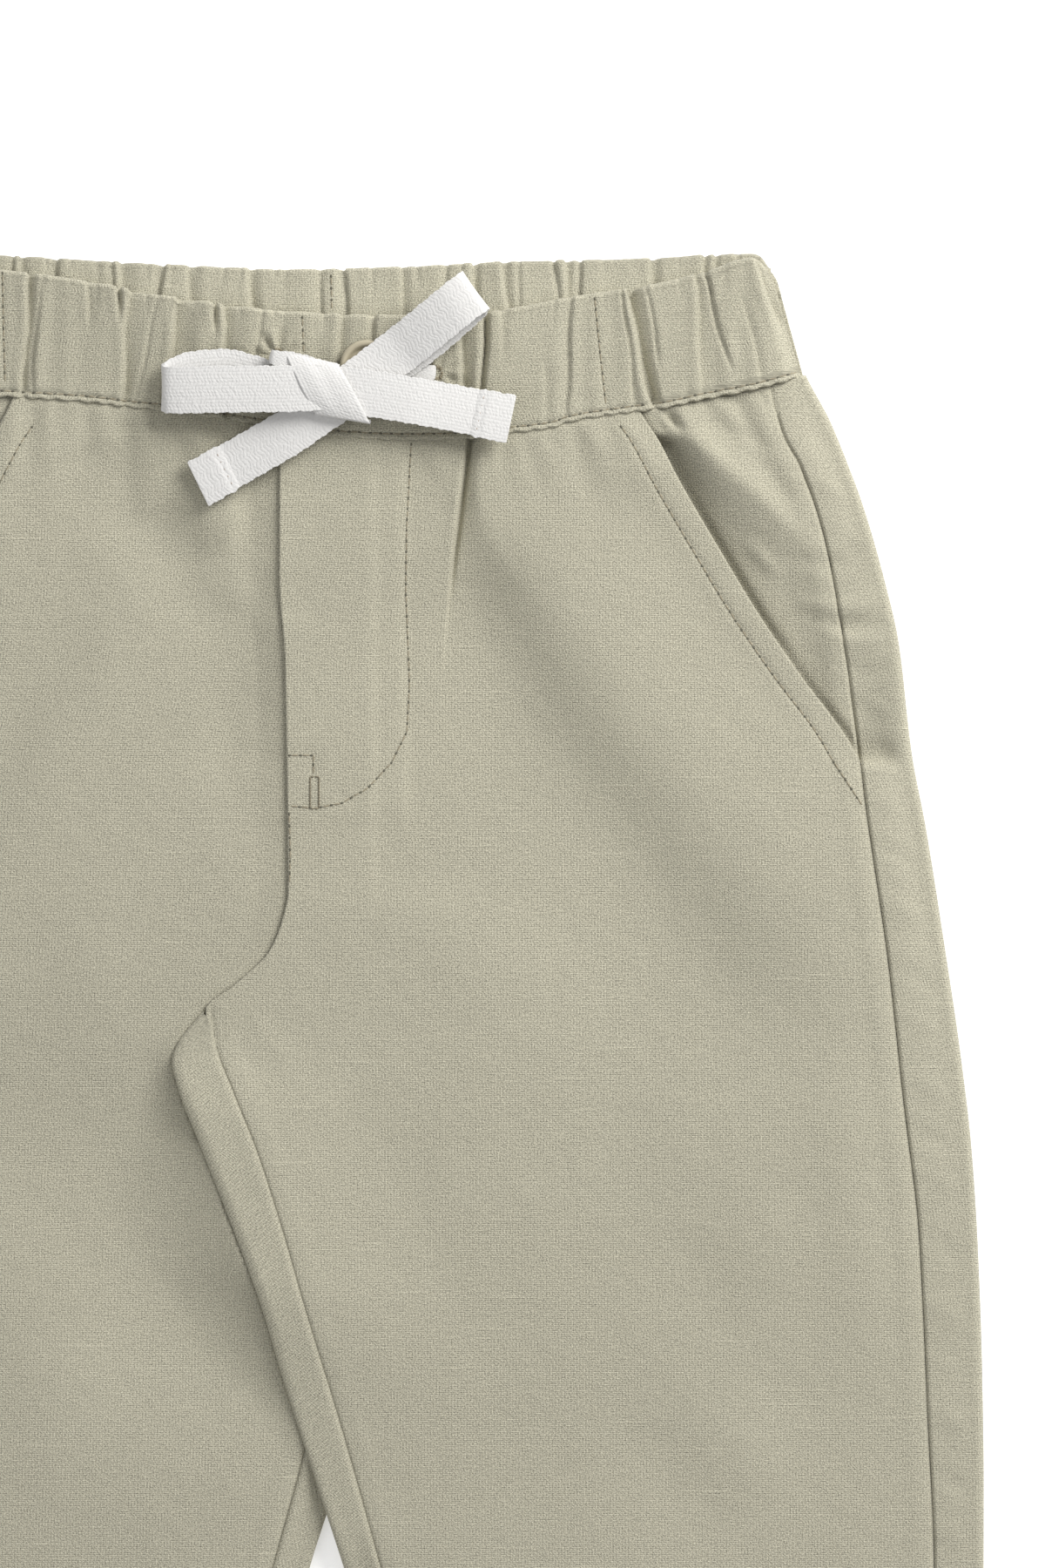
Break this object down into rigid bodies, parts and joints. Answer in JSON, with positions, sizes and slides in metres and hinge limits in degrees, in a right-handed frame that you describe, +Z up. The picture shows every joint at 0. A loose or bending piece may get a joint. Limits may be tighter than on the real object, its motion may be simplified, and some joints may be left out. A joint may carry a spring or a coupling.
{
  "type": "linen drawstring trousers",
  "caption": "Child's pull-on linen trousers laid flat, front up, with gathered elastic waistband, tied cotton tape drawstring, mock fly and slant pockets.",
  "frame": {"origin": "middle of the bounding box at its base, on the surface the trousers lie on", "axes": "+Y along the trousers towards the waist, +Z up out of the surface, +X towards the viewer's right"},
  "size_m": [0.3628, 0.676, 0.017],
  "materials": {
    "linen": "plain-woven linen, matt, fine slubs",
    "cotton_tape": "white cotton twill tape",
    "button_resin": "satin resin, olive beige"
  },
  "bodies": {
    "root": {"front_right": "linen", "front_left": "linen", "back_right": "linen", "back_left": "linen", "pocket_panel_right": "linen", "pocket_panel_left": "linen", "waistband_front": "linen", "waistband_back": "linen", "button": "button_resin", "tape_lead_left": "cotton_tape", "tape_lead_right": "cotton_tape", "tape_loop_left": "cotton_tape", "tape_loop_right": "cotton_tape", "tape_tail_left": "cotton_tape", "tape_tail_right": "cotton_tape", "tape_knot": "cotton_tape"}
  },
  "joints": []
}
